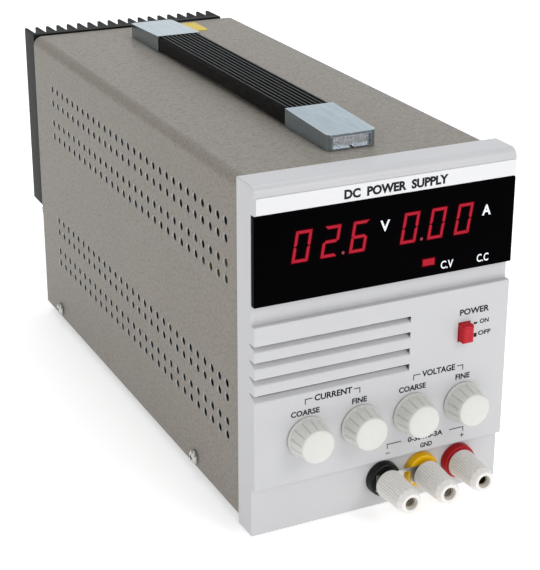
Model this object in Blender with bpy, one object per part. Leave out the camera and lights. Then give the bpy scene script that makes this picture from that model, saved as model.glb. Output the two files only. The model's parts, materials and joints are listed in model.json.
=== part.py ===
"""Bench power supply, modelled as an assembly of separate pieces. Metres, +Z up, front panel facing -Y.

Origin: the middle of the footprint, on the table that the rubber feet stand on.
"""

import math

import bmesh
import bpy
from mathutils import Vector

# ---- Driving dimensions ----------------------------------------------------------------------------------
PANEL_WIDTH = 0.125
PANEL_HEIGHT = 0.161
PANEL_DEPTH = 0.0169
CASE_WIDTH = 0.122
CASE_LENGTH = 0.272
CASE_BELOW_TOP = 0.0016  # the bezel stands this much above the cover
CASE_ABOVE_BASE = 0.0027  # and hangs this much below it
HEAT_SINK_DEPTH = 0.0178
TABLE_GAP = 0.0025  # from the table up to the bezel's lower edge
GAP = 0.0003  # left between pieces that touch
STEP = 0.0033  # the window seat and the terminal strip lie this much behind the control panel's face
COLLAR_THICKNESS = 0.0036
CAP_LENGTH = 0.0202  # of each terminal's cap
LOOSENED = 0.0023  # how far the two linked terminals' caps are unscrewed

# ---- Planes that the pieces share ------------------------------------------------------------------------
POST_REACH = PANEL_DEPTH - STEP + GAP + COLLAR_THICKNESS + GAP + LOOSENED + CAP_LENGTH
LENGTH = POST_REACH + CASE_LENGTH + HEAT_SINK_DEPTH + GAP
BACK = -LENGTH / 2 + POST_REACH  # Y of the bezel's back edge, where the cover starts
BASE = TABLE_GAP  # Z of the bezel's lower edge
FACE = BACK - PANEL_DEPTH  # Y of the front of the control panel
SEAT = FACE + STEP
CASE_FLOOR = BASE + CASE_ABOVE_BASE
CASE_TOP = BASE + PANEL_HEIGHT - CASE_BELOW_TOP
CASE_REAR = BACK + CASE_LENGTH
SHEET = 0.001  # cover steel
PLATE = 0.0012  # chassis steel
BEZEL_WALL = 0.003
CAVITY_FRONT = BACK - 0.0105  # Y where the bezel's hollow back starts

STRIP_TOP = BASE + 0.0241  # top of the terminal strip
PANEL_TOP = BASE + 0.1004  # top of the control panel's proud face
WINDOW_LOW = BASE + 0.1090
WINDOW_HIGH = BASE + 0.1484

# ---- Things on the front panel ---------------------------------------------------------------------------
KNOB_PITCH = 0.026
FIRST_KNOB_X = -0.0375
KNOB_Z = BASE + 0.0450
KNOB_NAMES = ("current_coarse", "current_fine", "voltage_coarse", "voltage_fine")
SHAFT_RADIUS = 0.0029
BUSHING_RADIUS = 0.0042
BUSHING_HOLE = BUSHING_RADIUS + 0.0004
POST_X = {"negative": 0.0020, "ground": 0.0215, "positive": 0.0410}
POST_Z = BASE + 0.0140
POST_LOOSE = {"negative": LOOSENED, "ground": LOOSENED, "positive": 0.0}
COLLAR_NECK = 0.0042  # radius of the insulating neck that passes through the panel
POST_HOLE = COLLAR_NECK + 0.0004
STUD_RADIUS = 0.0027
SOCKET_RADIUS = 0.00205  # a 4 mm plug's bore
BUTTON_X = 0.0398
BUTTON_Z = BASE + 0.0794
BUTTON_HALF = (0.0028, 0.0043)
LOUVRE_TOPS = tuple(BASE + 0.0918 - 0.0075 * row for row in range(4))
LOUVRE_RIGHT = 0.0124
DIGITS = {"voltage_digits": -0.0278, "current_digits": 0.0237}  # X of each module's middle
DIGITS_Z = BASE + 0.1328
DISPLAY_HALF = 0.055  # half the width of the board behind the window
MODULE_HALF = (0.0200, 0.0095)
LAMPS = {"cv_led": 0.0199, "cc_led": 0.0381}
LAMP_HALF = (0.0032, 0.0018)
LAMP_Z = BASE + 0.1157

# ---- Things on the cover and the rear --------------------------------------------------------------------
SCREW_Y = (BACK + 0.0514, BACK + 0.2450)
SCREW_Z = BASE + 0.0074
SCREW_HOLE = 0.0017
FOOT_X = 0.042
FOOT_Y = (BACK + 0.025, CASE_REAR - 0.025)
HANDLE_FRONT = BACK + 0.0170
HANDLE_REAR = BACK + 0.2510
CAP_RUN = 0.0410  # length of each handle end cap
CAP_WIDTH = 0.0240
GRIP_WIDTH = 0.0232
INLET_X = 0.0250
INLET_Z = BASE + 0.0320
INLET_BODY = (0.0137, 0.0099)  # half width and half height
FUSE_X = -0.0510
FUSE_Z = BASE + 0.0540


# ---- Tools -----------------------------------------------------------------------------------------------
def clear_scene():
    for obj in list(bpy.data.objects):
        bpy.data.objects.remove(obj, do_unlink=True)


def material(name, colour, roughness, metallic=0.0):
    """A Principled material of the given linear colour, made once for each name."""
    found = bpy.data.materials.get(name)
    if found:
        return found
    made = bpy.data.materials.new(name)
    made.use_nodes = True
    shader = made.node_tree.nodes["Principled BSDF"]
    shader.inputs["Base Color"].default_value = (*colour, 1.0)
    shader.inputs["Roughness"].default_value = roughness
    shader.inputs["Metallic"].default_value = metallic
    return made


def add_object(name, bm, place, surface, smooth=False):
    """Turns a bmesh, drawn round its own origin, into an object at the given place."""
    bmesh.ops.recalc_face_normals(bm, faces=bm.faces)
    mesh = bpy.data.meshes.new(name)
    bm.to_mesh(mesh)
    bm.free()
    if smooth:
        for face in mesh.polygons:
            face.use_smooth = True
        mesh.set_sharp_from_angle(angle=math.radians(35))
    obj = bpy.data.objects.new(name, mesh)
    bpy.context.scene.collection.objects.link(obj)
    obj.location = place
    if surface:
        mesh.materials.append(surface)
    return obj


def box(name, low, high, surface=None):
    """A box between two corners, with its origin in its middle."""
    low, high = Vector(low), Vector(high)
    bm = bmesh.new()
    bmesh.ops.create_cube(bm, size=1.0)
    bmesh.ops.scale(bm, vec=high - low, verts=bm.verts)
    return add_object(name, bm, (low + high) / 2, surface)


def prism(name, outline, axis, start, end, surface=None, smooth=False):
    """An outline in the two other axes, in X, Y, Z order, pushed along one axis from start to end."""
    bm = bmesh.new()
    others = [i for i in range(3) if i != axis]
    corners = []
    for first, second in outline:
        point = [0.0, 0.0, 0.0]
        point[others[0]] = first
        point[others[1]] = second
        point[axis] = start
        corners.append(bm.verts.new(point))
    face = bm.faces.new(corners)
    pushed = bmesh.ops.extrude_face_region(bm, geom=[face])
    shift = Vector((0, 0, 0))
    shift[axis] = end - start
    moved = [item for item in pushed["geom"] if isinstance(item, bmesh.types.BMVert)]
    bmesh.ops.translate(bm, vec=shift, verts=moved)
    return add_object(name, bm, (0, 0, 0), surface, smooth)


def turned(name, profile, axis, place, surface=None, steps=24):
    """A profile of (radius, distance along the axis) pairs, turned round the axis through a place.

    It starts and ends on the axis, or it is a closed loop that stays off the axis.
    """
    bm = bmesh.new()
    across = [(axis + 1) % 3, (axis + 2) % 3]
    rings = []
    for radius, along in profile:
        ring = []
        for step in range(steps if radius else 1):
            turn = 2 * math.pi * (step + 0.5) / steps
            point = [0.0, 0.0, 0.0]
            point[axis] = along
            point[across[0]] = radius * math.cos(turn)
            point[across[1]] = radius * math.sin(turn)
            ring.append(bm.verts.new(point))
        rings.append(ring)
    pairs = list(zip(rings, rings[1:]))
    if profile[0][0]:
        pairs.append((rings[-1], rings[0]))
    for near, far in pairs:
        for step in range(steps):
            following = (step + 1) % steps
            if len(near) == 1:
                bm.faces.new((near[0], far[step], far[following]))
            elif len(far) == 1:
                bm.faces.new((near[step], near[following], far[0]))
            else:
                bm.faces.new((near[step], near[following], far[following], far[step]))
    return add_object(name, bm, place, surface, smooth=True)


def rod(name, radius, axis, start, end, place, surface=None, steps=24):
    profile = [(0, start), (radius, start), (radius, end), (0, end)]
    return turned(name, profile, axis, place, surface, steps)


def turned_cup(name, loop, place, surface):
    """A cup turned round Y: the loop's two axis points are its closed end, outside and inside."""
    closed_at = [index for index, point in enumerate(loop) if point[0] == 0][1]
    profile = loop[closed_at:] + loop[:closed_at]
    return turned(name, profile, 1, place, surface)


def combine(obj, tool, operation):
    """Adds or removes the tool's shape, and hides the tool."""
    change = obj.modifiers.new(tool.name, "BOOLEAN")
    change.operation = operation
    change.solver = "EXACT"
    change.object = tool
    tool.hide_render = True
    tool.display_type = "WIRE"


def cut(obj, *tools):
    for tool in tools:
        combine(obj, tool, "DIFFERENCE")


def add(obj, *tools):
    for tool in tools:
        combine(obj, tool, "UNION")


def arc(centre, radii, start, end, steps):
    """Points on an ellipse from one angle to another, in degrees."""
    points = []
    for step in range(steps + 1):
        turn = math.radians(start + (end - start) * step / steps)
        points.append((centre[0] + radii[0] * math.cos(turn), centre[1] + radii[1] * math.sin(turn)))
    return points


def knob_x(index):
    return FIRST_KNOB_X + KNOB_PITCH * index


# ---- Materials -------------------------------------------------------------------------------------------
def painted_grey():
    return material("painted_grey", (0.30, 0.285, 0.255), 0.38)


def panel_plastic():
    return material("panel_plastic", (0.62, 0.62, 0.63), 0.42)


def knob_plastic():
    return material("knob_plastic", (0.74, 0.75, 0.69), 0.35)


def post_plastic():
    return material("post_plastic", (0.58, 0.57, 0.54), 0.45)


def plated_steel():
    return material("plated_steel", (0.55, 0.56, 0.55), 0.32, 1.0)


def black_plastic():
    return material("black_plastic", (0.012, 0.013, 0.014), 0.4)


def brass():
    return material("brass", (0.62, 0.46, 0.20), 0.3, 1.0)


# ---- Case ------------------------------------------------------------------------------------------------
def make_chassis():
    """One bent sheet: floor, front wall, rear wall and low side flanges that take the cover's screws."""
    half = CASE_WIDTH / 2 - SHEET - 0.0004
    front, rear = BACK + GAP, CASE_REAR - GAP
    flange_top = CASE_FLOOR + 0.013
    top = CASE_TOP - SHEET - 0.0006
    zinc = material("zinc_steel", (0.5, 0.5, 0.48), 0.4, 1.0)
    chassis = box("chassis", (-half, front, CASE_FLOOR), (half, rear, top), zinc)
    inner_front, inner_rear = front + PLATE, rear - PLATE
    reach = CASE_WIDTH
    inlet_hole = (INLET_BODY[0] + 0.0004, INLET_BODY[1] + 0.0004)
    cut(
        chassis,
        box("chassis_above_flanges", (-reach, inner_front, flange_top), (reach, inner_rear, top + 0.01)),
        box(
            "chassis_tray",
            (PLATE - half, inner_front, CASE_FLOOR + PLATE),
            (half - PLATE, inner_rear, flange_top + 0.001),
        ),
        box(
            "chassis_inlet_hole",
            (INLET_X - inlet_hole[0], inner_rear - 0.002, INLET_Z - inlet_hole[1]),
            (INLET_X + inlet_hole[0], rear + 0.002, INLET_Z + inlet_hole[1]),
        ),
        rod("chassis_fuse_hole", 0.0064, 1, inner_rear - 0.002, rear + 0.002, (FUSE_X, 0, FUSE_Z)),
        box(
            "chassis_button_hole",
            (BUTTON_X - 0.003, front - 0.002, BUTTON_Z - 0.003),
            (BUTTON_X + 0.003, inner_front + 0.002, BUTTON_Z + 0.003),
        ),
    )
    bend_room = 0.003  # the walls' top corners clear the inside of the cover's bends
    for side, sign in (("left", -1), ("right", 1)):
        corner = [
            (sign * (half - bend_room), top + 0.0001),
            (sign * (half + 0.0001), top + 0.0001),
            (sign * (half + 0.0001), top - bend_room),
        ]
        cut(chassis, prism("chassis_corner_" + side, corner, 1, front - 0.001, rear + 0.001))
    for index, name in enumerate(KNOB_NAMES):
        place = (knob_x(index), 0, KNOB_Z)
        cut(chassis, rod("chassis_hole_" + name, BUSHING_HOLE, 1, front - 0.002, inner_front + 0.002, place))
    for name, x in POST_X.items():
        place = (x, 0, POST_Z)
        cut(chassis, rod("chassis_hole_" + name, POST_HOLE, 1, front - 0.002, inner_front + 0.002, place))
    for index, y in enumerate(SCREW_Y):
        place = (0, y, SCREW_Z)
        cut(chassis, rod(f"chassis_screw_hole_{index}", SCREW_HOLE, 0, -reach, reach, place, steps=16))


def make_cover():
    """The bent cover: top and both sides in one sheet. Its side vents belong to the finished look."""
    half = CASE_WIDTH / 2
    bend = 0.005
    outline = []
    for inset, order in ((0.0, 1), (SHEET, -1)):
        radius = bend - inset
        centre_x, centre_z = half - bend, CASE_TOP - bend
        side = [(half - inset, CASE_FLOOR)]
        side += arc((centre_x, centre_z), (radius, radius), 0, 90, 5)
        side += arc((-centre_x, centre_z), (radius, radius), 90, 180, 5)
        side += [(inset - half, CASE_FLOOR)]
        outline += side[::order]
    cover = prism("cover", outline, 1, BACK + GAP, CASE_REAR, painted_grey(), smooth=True)
    for index, y in enumerate(SCREW_Y):
        place = (0, y, SCREW_Z)
        cut(cover, rod(f"cover_screw_hole_{index}", SCREW_HOLE, 0, -CASE_WIDTH, CASE_WIDTH, place, steps=16))


def make_cover_screws():
    seat = CASE_WIDTH / 2 + GAP
    for side, sign in (("left", -1), ("right", 1)):
        for end, y in zip(("front", "rear"), SCREW_Y):
            profile = [
                (0, seat - 0.006),
                (0.0013, seat - 0.006),
                (0.0013, seat),
                (0.0034, seat),
                (0.0032, seat + 0.0011),
                (0.0022, seat + 0.0019),
                (0, seat + 0.0021),
            ]
            profile = [(radius, sign * along) for radius, along in profile]
            turned(f"cover_screw_{side}_{end}", profile, 0, (0, y, SCREW_Z), plated_steel(), steps=16)


def make_feet():
    rubber = material("rubber", (0.02, 0.02, 0.02), 0.8)
    top = CASE_FLOOR - GAP
    for side, x in (("left", -FOOT_X), ("right", FOOT_X)):
        for end, y in zip(("front", "rear"), FOOT_Y):
            profile = [(0, 0), (0.0062, 0), (0.0066, 0.0006), (0.0074, top), (0, top)]
            turned(f"foot_{side}_{end}", profile, 2, (x, y, 0), rubber)


# ---- Front -----------------------------------------------------------------------------------------------
def make_bezel():
    """The moulded front: a stepped face with a rounded brow, hollow behind."""
    top = BASE + PANEL_HEIGHT
    brow = (0.0042, 0.0042)  # depth and height of the rounded top edge
    outline = [
        (BACK, BASE),
        (SEAT + 0.0006, BASE),
        (SEAT, BASE + 0.0006),
        (SEAT, STRIP_TOP),
        (FACE, STRIP_TOP),
        (FACE, PANEL_TOP - 0.0008),
        (FACE + 0.0008, PANEL_TOP),
        (SEAT, PANEL_TOP),
        (SEAT, WINDOW_HIGH + GAP),
        (FACE, WINDOW_HIGH + GAP),
    ]
    outline += arc((FACE + brow[0], top - brow[1]), brow, 180, 90, 6)
    outline.append((BACK, top))
    half = PANEL_WIDTH / 2
    bezel = prism("front_bezel", outline, 0, -half, half, panel_plastic(), smooth=True)
    inner = half - BEZEL_WALL
    button_hole = (BUTTON_HALF[0] + 0.0004, BUTTON_HALF[1] + 0.0004)
    cut(
        bezel,
        box(
            "bezel_hollow",
            (-inner, CAVITY_FRONT, BASE + BEZEL_WALL),
            (inner, BACK + 0.002, top - BEZEL_WALL),
        ),
        box(
            "bezel_display_hole",
            (-DISPLAY_HALF - 0.001, FACE - 0.002, WINDOW_LOW + 0.0035),
            (DISPLAY_HALF + 0.001, CAVITY_FRONT + 0.002, WINDOW_HIGH - 0.0030),
        ),
        box(
            "bezel_button_hole",
            (BUTTON_X - button_hole[0], FACE - 0.002, BUTTON_Z - button_hole[1]),
            (BUTTON_X + button_hole[0], CAVITY_FRONT + 0.002, BUTTON_Z + button_hole[1]),
        ),
    )
    for index, top_edge in enumerate(LOUVRE_TOPS):
        depth, height = 0.0055, 0.0033
        past = 0.0006  # the cutter starts this much in front of the face, on the ramp's own slope
        ramp = [
            (FACE - past, top_edge),
            (FACE + depth, top_edge),
            (FACE - past, top_edge - height * (depth + past) / depth),
        ]
        cut(bezel, prism(f"bezel_louvre_{index}", ramp, 0, -half - 0.001, LOUVRE_RIGHT))
    for index, name in enumerate(KNOB_NAMES):
        place = (knob_x(index), 0, KNOB_Z)
        cut(bezel, rod("bezel_hole_" + name, BUSHING_HOLE, 1, FACE - 0.002, CAVITY_FRONT + 0.002, place))
    for name, x in POST_X.items():
        place = (x, 0, POST_Z)
        cut(bezel, rod("bezel_hole_" + name, POST_HOLE, 1, FACE - 0.002, CAVITY_FRONT + 0.002, place))


def make_display():
    half = PANEL_WIDTH / 2
    acrylic = material("smoked_acrylic", (0.01, 0.006, 0.007), 0.08)
    box("display_window", (-half, FACE, WINDOW_LOW), (half, SEAT - GAP, WINDOW_HIGH), acrylic)
    strip = material("printed_film", (0.80, 0.80, 0.82), 0.35)
    box(
        "name_strip",
        (-half + 0.0007, FACE - 2 * GAP, WINDOW_HIGH + 0.0008),
        (half - 0.0007, FACE - GAP, WINDOW_HIGH + 0.0078),
        strip,
    )
    board = material("circuit_board", (0.02, 0.12, 0.05), 0.5)
    board_front = CAVITY_FRONT + 0.0067
    box(
        "display_board",
        (-DISPLAY_HALF, board_front, WINDOW_LOW + 0.0030),
        (DISPLAY_HALF, board_front + 0.0016, WINDOW_HIGH),
        board,
    )
    lens = material("digit_module", (0.03, 0.03, 0.03), 0.5)
    for name, x in DIGITS.items():
        on_board(name, (x, DIGITS_Z), MODULE_HALF, board_front, lens)
    lamp = material("red_lamp", (0.5, 0.02, 0.03), 0.3)
    for name, x in LAMPS.items():
        on_board(name, (x, LAMP_Z), LAMP_HALF, board_front, lamp)


def on_board(name, middle, half, board_front, surface):
    """A block that stands on the display board's front and ends just behind the window."""
    (x, z), (half_x, half_z) = middle, half
    front = SEAT + 2 * GAP
    box(name, (x - half_x, front, z - half_z), (x + half_x, board_front - GAP, z + half_z), surface)


def make_knobs():
    """A tapered knob on each shaft, and the potentiometer that the shaft turns in."""
    front = FACE - 0.0110
    tail = FACE - GAP
    shaft_front = FACE - 0.0080
    pot_back = BACK + 0.012
    carbon = material("pot_body", (0.30, 0.29, 0.27), 0.45, 0.8)
    bore = SHAFT_RADIUS + GAP
    for index, name in enumerate(KNOB_NAMES):
        place = (knob_x(index), 0, KNOB_Z)
        knob = [
            (0, front - 0.0006),
            (0.0050, front - 0.0003),
            (0.0070, front + 0.0002),
            (0.0076, front + 0.0010),
            (0.0092, tail - 0.0014),
            (0.0096, tail - 0.0012),
            (0.0096, tail),
            (bore, tail),
            (bore, shaft_front - GAP),
            (0, shaft_front - GAP),
        ]
        turned("knob_" + name, knob, 1, place, knob_plastic())
        rod("pot_shaft_" + name, SHAFT_RADIUS, 1, shaft_front, pot_back - 0.003, place, plated_steel())
        body = [
            (bore, CAVITY_FRONT - 0.003),
            (BUSHING_RADIUS, CAVITY_FRONT - 0.003),
            (BUSHING_RADIUS, BACK + 0.0018),
            (0.0082, BACK + 0.0018),
            (0.0082, pot_back),
            (0, pot_back),
            (0, pot_back - 0.0025),
            (bore, pot_back - 0.0025),
        ]
        turned_cup("pot_body_" + name, body, place, carbon)


def make_power_switch():
    """A latching push-button, held in, and the switch body that its stem runs into."""
    x, z = BUTTON_X, BUTTON_Z
    half_x, half_z = BUTTON_HALF
    front, tail = FACE - 0.0045, BACK - 0.0040
    red = material("red_plastic", (0.45, 0.008, 0.02), 0.35)
    bm = bmesh.new()
    bmesh.ops.create_cube(bm, size=1.0)
    bmesh.ops.scale(bm, vec=(2 * half_x, tail - front, 2 * half_z), verts=bm.verts)
    face = min(bm.faces, key=lambda f: f.calc_center_median().y)
    bmesh.ops.bevel(bm, geom=list(face.edges), offset=0.0009, segments=1, affect="EDGES")
    button = add_object("power_button", bm, (x, (front + tail) / 2, z), red)
    stem = 0.0016
    add(button, box("button_stem", (x - stem, tail - 0.001, z - stem), (x + stem, BACK + 0.0085, z + stem)))
    body = box(
        "power_switch_body",
        (x - 0.0070, BACK + 0.0018, z - 0.0070),
        (x + 0.0070, BACK + 0.0230, z + 0.0070),
        black_plastic(),
    )
    bore = stem + 0.0004
    cut(body, box("switch_bore", (x - bore, BACK, z - bore), (x + bore, BACK + 0.0105, z + bore)))


# ---- Terminals -------------------------------------------------------------------------------------------
def make_posts():
    """Each terminal: insulating collar, hollow stud, and a ribbed cap on a threaded insert."""
    colours = {
        "negative": material("black_collar", (0.01, 0.01, 0.012), 0.35),
        "ground": material("yellow_collar", (0.80, 0.50, 0.01), 0.35),
        "positive": material("red_collar", (0.42, 0.02, 0.03), 0.35),
    }
    collar_tail = SEAT - GAP
    collar_front = collar_tail - COLLAR_THICKNESS
    stud_front = FACE - 0.0177
    for name, x in POST_X.items():
        place = (x, 0, POST_Z)
        neck_bore = STUD_RADIUS + GAP
        collar = [
            (neck_bore, collar_front),
            (0.0078, collar_front),
            (0.0082, collar_front + 0.0005),
            (0.0082, collar_tail),
            (COLLAR_NECK, collar_tail),
            (COLLAR_NECK, BACK + 0.0021),
            (neck_bore, BACK + 0.0021),
        ]
        turned("post_collar_" + name, collar, 1, place, colours[name])
        stud = [
            (0, stud_front + 0.0140),
            (SOCKET_RADIUS, stud_front + 0.0140),
            (SOCKET_RADIUS, stud_front),
            (STUD_RADIUS, stud_front),
            (STUD_RADIUS, BACK + 0.0110),
            (0, BACK + 0.0110),
        ]
        turned("post_stud_" + name, stud, 1, place, brass())
        tail = collar_front - GAP - POST_LOOSE[name]
        front = tail - CAP_LENGTH
        inner, mouth = 0.0042, 0.0030
        insert_front = front + 0.0064
        cap = [
            (inner, tail),
            (0.0066, tail),
            (0.0068, tail - 0.0006),
            (0.0056, front + 0.0030),
            (0.0046, front),
            (mouth, front),
            (mouth, insert_front - 0.0004),
            (inner, insert_front - 0.0004),
        ]
        turned("post_cap_" + name, cap, 1, place, post_plastic())
        insert = [
            (STUD_RADIUS + GAP, insert_front),
            (inner - GAP, insert_front),
            (inner - GAP, tail - 0.0004),
            (STUD_RADIUS + GAP, tail - 0.0004),
        ]
        turned("post_insert_" + name, insert, 1, place, brass())
    link_back = collar_front - GAP
    low_x, high_x = POST_X["negative"] - 0.0055, POST_X["ground"] + 0.0060
    link = box(
        "ground_link",
        (low_x, link_back - 0.0008, POST_Z - 0.0040),
        (high_x, link_back, POST_Z + 0.0040),
        plated_steel(),
    )
    for name in ("negative", "ground"):
        place = (POST_X[name], 0, POST_Z)
        hole = STUD_RADIUS + 0.0004
        cut(link, rod("link_hole_" + name, hole, 1, link_back - 0.002, link_back + 0.001, place))


# ---- Handle ----------------------------------------------------------------------------------------------
def make_handle_cap(name, end_y, inward):
    """A hollow wedge-topped end cap. Its mouth faces inward, along +Y or -Y, and takes the strap's end."""
    base = CASE_TOP + GAP
    half = CAP_WIDTH / 2
    corner = 0.0025
    far_height, near_height = 0.0070, 0.0085
    outline = arc((half - corner, -corner), (corner, corner), 0, 90, 4)
    outline += arc((corner - half, -corner), (corner, corner), 90, 180, 4)
    outline += [(-half, -CAP_RUN), (half, -CAP_RUN)]
    bm = bmesh.new()
    low, high = [], []
    for across, depth in outline:
        along = -depth * inward
        height = far_height + (near_height - far_height) * (-depth) / CAP_RUN
        low.append(bm.verts.new((across, along, 0)))
        high.append(bm.verts.new((across, along, height)))
    bm.faces.new(low)
    bm.faces.new(high)
    for index in range(len(outline)):
        following = (index + 1) % len(outline)
        bm.faces.new((low[index], low[following], high[following], high[index]))
    chrome = material("chrome_cap", (0.60, 0.63, 0.65), 0.12, 1.0)
    cap = add_object(name, bm, (0, end_y, base), chrome, smooth=True)
    hollow_start = end_y + 0.003 * inward
    mouth = end_y + (CAP_RUN + 0.002) * inward
    low_y, high_y = sorted((hollow_start, mouth))
    inner = half - 0.002
    cut(cap, box(name + "_hollow", (-inner, low_y, base - 0.001), (inner, high_y, base + 0.0058)))


def make_handle():
    make_handle_cap("handle_cap_front", HANDLE_FRONT, 1)
    make_handle_cap("handle_cap_rear", HANDLE_REAR, -1)
    base = CASE_TOP
    front, rear = HANDLE_FRONT + CAP_RUN + 0.0004, HANDLE_REAR - CAP_RUN - 0.0004
    half = GRIP_WIDTH / 2
    strap_half = 0.008
    strap_low, strap_high = base + 0.0013, base + 0.0025
    middle = (0, (HANDLE_FRONT + HANDLE_REAR) / 2, base)
    outline = [
        (-half, 0.0006),
        (half, 0.0006),
        (half, 0.0076),
        (half - 0.0010, 0.0086),
        (0.0010 - half, 0.0086),
        (-half, 0.0076),
    ]
    rubber = material("grip_rubber", (0.012, 0.013, 0.014), 0.5)
    grip = prism("handle_grip", outline, 1, front - middle[1], rear - middle[1], rubber)
    grip.location = middle
    tunnel = box(
        "grip_tunnel",
        (-strap_half - GAP, front - 0.002, strap_low - GAP),
        (strap_half + GAP, rear + 0.002, strap_high + GAP),
    )
    cut(grip, tunnel)
    box(
        "handle_strap",
        (-strap_half, HANDLE_FRONT + 0.008, strap_low),
        (strap_half, HANDLE_REAR - 0.008, strap_high),
        plated_steel(),
    )


def make_sticker():
    yellow = material("yellow_paper", (0.75, 0.60, 0.16), 0.6)
    low = CASE_TOP + GAP
    box("yellow_sticker", (0.0150, BACK + 0.247, low), (0.0330, BACK + 0.267, low + 0.0002), yellow)


# ---- Rear ------------------------------------------------------------------------------------------------
def make_heat_sink():
    """A finned extrusion, nearly in line with the case's left side and top."""
    left, fins, pitch, thick = -0.0606, 19, 0.0061, 0.0024
    base_back = CASE_REAR + GAP
    base_front = base_back + 0.004
    tip = base_back + HEAT_SINK_DEPTH
    outline = [(left, base_back)]
    for index in range(fins):
        start = left + pitch * index
        outline += [
            (start, base_front),
            (start + 0.0003, tip),
            (start + thick - 0.0003, tip),
            (start + thick, base_front),
        ]
    del outline[1]  # the first fin's outer face runs straight from the base's back corner
    right = left + pitch * (fins - 1) + thick
    outline[-1] = (right, base_back)
    anodised = material("black_anodised", (0.025, 0.027, 0.025), 0.45, 0.6)
    prism("heat_sink", outline, 2, BASE + 0.061, BASE + 0.1603, anodised)


def make_inlet():
    """A three-pin mains inlet. No cord is made."""
    x, z = INLET_X, INLET_Z
    flange_back = CASE_REAR
    rear = flange_back + 0.0020
    body_x, body_z = INLET_BODY
    inlet = box(
        "iec_inlet",
        (x - body_x, flange_back - 0.020, z - body_z),
        (x + body_x, flange_back + 0.001, z + body_z),
        black_plastic(),
    )
    flange_x, flange_z = body_x + 0.0018, body_z + 0.0021
    flange_low = (x - flange_x, flange_back, z - flange_z)
    add(inlet, box("inlet_flange", flange_low, (x + flange_x, rear, z + flange_z)))
    floor = rear - 0.017
    cut(inlet, box("inlet_cavity", (x - 0.0118, floor, z - 0.0080), (x + 0.0118, rear + 0.002, z + 0.0080)))
    for index, (across, up) in enumerate(((-0.007, -0.002), (0.0, 0.003), (0.007, -0.002))):
        low = (x + across - 0.0010, floor - 0.001, z + up - 0.0020)
        high = (x + across + 0.0010, floor + 0.0105, z + up + 0.0020)
        add(inlet, box(f"inlet_pin_{index}", low, high))


def make_fuse():
    """A panel fuse holder and the slotted cap that a quarter turn frees."""
    place = (FUSE_X, 0, FUSE_Z)
    neck = CASE_REAR + 0.0080
    bore = 0.0042
    holder = [
        (0, CASE_REAR - 0.022),
        (0.0060, CASE_REAR - 0.022),
        (0.0060, CASE_REAR),
        (0.0070, CASE_REAR),
        (0.0070, neck),
        (bore, neck),
        (bore, CASE_REAR - 0.018),
        (0, CASE_REAR - 0.018),
    ]
    turned("fuse_holder", holder, 1, place, black_plastic())
    cap_tail = neck + GAP
    cap = [
        (0, CASE_REAR - 0.012),
        (bore - GAP, CASE_REAR - 0.012),
        (bore - GAP, cap_tail),
        (0.0066, cap_tail),
        (0.0062, cap_tail + 0.0055),
        (0, cap_tail + 0.0055),
    ]
    fuse_cap = turned("fuse_cap", cap, 1, place, black_plastic())
    slot_low = cap_tail + 0.0043
    cut(
        fuse_cap,
        box(
            "fuse_cap_slot",
            (FUSE_X - 0.0080, slot_low, FUSE_Z - 0.0006),
            (FUSE_X + 0.0080, slot_low + 0.004, FUSE_Z + 0.0006),
        ),
    )


# ---- Inside ----------------------------------------------------------------------------------------------
def make_transformer():
    """A laminated core with two windows, and the winding that fills them round its middle leg."""
    y, floor = BACK + 0.190, CASE_FLOOR + PLATE + GAP
    half_width, half_stack, height = 0.040, 0.020, 0.066
    core = box(
        "transformer_core",
        (-half_width, y - half_stack, floor),
        (half_width, y + half_stack, floor + height),
        material("core_steel", (0.12, 0.11, 0.10), 0.5, 0.7),
    )
    leg = 0.0130
    window = (leg, 0.0270)
    low, high = floor + 0.013, floor + 0.053
    for side, sign in (("left", -1), ("right", 1)):
        first, second = sorted((sign * window[0], sign * window[1]))
        cut(core, box("core_window_" + side, (first, y - 0.03, low), (second, y + 0.03, high)))
    winding = box(
        "transformer_winding",
        (GAP - window[1], y - 0.031, low + GAP),
        (window[1] - GAP, y + 0.031, high - GAP),
        material("winding_tape", (0.75, 0.62, 0.20), 0.5),
    )
    reach = half_stack + GAP
    bore = leg + GAP
    cut(winding, box("winding_hole", (-bore, y - reach, low - 0.002), (bore, y + reach, high + 0.002)))


def make_electronics():
    floor = CASE_FLOOR + PLATE + GAP
    board_low = floor + 0.008
    board_high = board_low + 0.0016
    board = box(
        "main_board",
        (-0.050, BACK + 0.035, board_low),
        (0.050, BACK + 0.140, board_high),
        material("circuit_board", (0.02, 0.12, 0.05), 0.5),
    )
    for index, (x, y) in enumerate(((-0.044, 0.041), (0.044, 0.041), (-0.044, 0.134), (0.044, 0.134))):
        add(board, rod(f"standoff_{index}", 0.003, 2, floor, board_low + 0.001, (x, BACK + y, 0), steps=12))
    sleeve = material("capacitor_sleeve", (0.02, 0.03, 0.08), 0.3)
    rod("filter_capacitor", 0.015, 2, board_high + GAP, board_high + 0.046, (-0.020, BACK + 0.095, 0), sleeve)
    wall = CASE_REAR - GAP - PLATE
    for index, x in enumerate((-0.030, 0.015)):
        low = (x - 0.008, wall - GAP - 0.005, BASE + 0.1000)
        high = (x + 0.008, wall - GAP, BASE + 0.1210)
        box(f"power_transistor_{index + 1}", low, high, black_plastic())


def main():
    clear_scene()
    make_chassis()
    make_cover()
    make_cover_screws()
    make_feet()
    make_bezel()
    make_display()
    make_knobs()
    make_power_switch()
    make_posts()
    make_handle()
    make_sticker()
    make_heat_sink()
    make_inlet()
    make_fuse()
    make_transformer()
    make_electronics()


main()
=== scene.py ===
import json
import math

import bmesh
import bpy
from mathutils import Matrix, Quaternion, Vector

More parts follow.
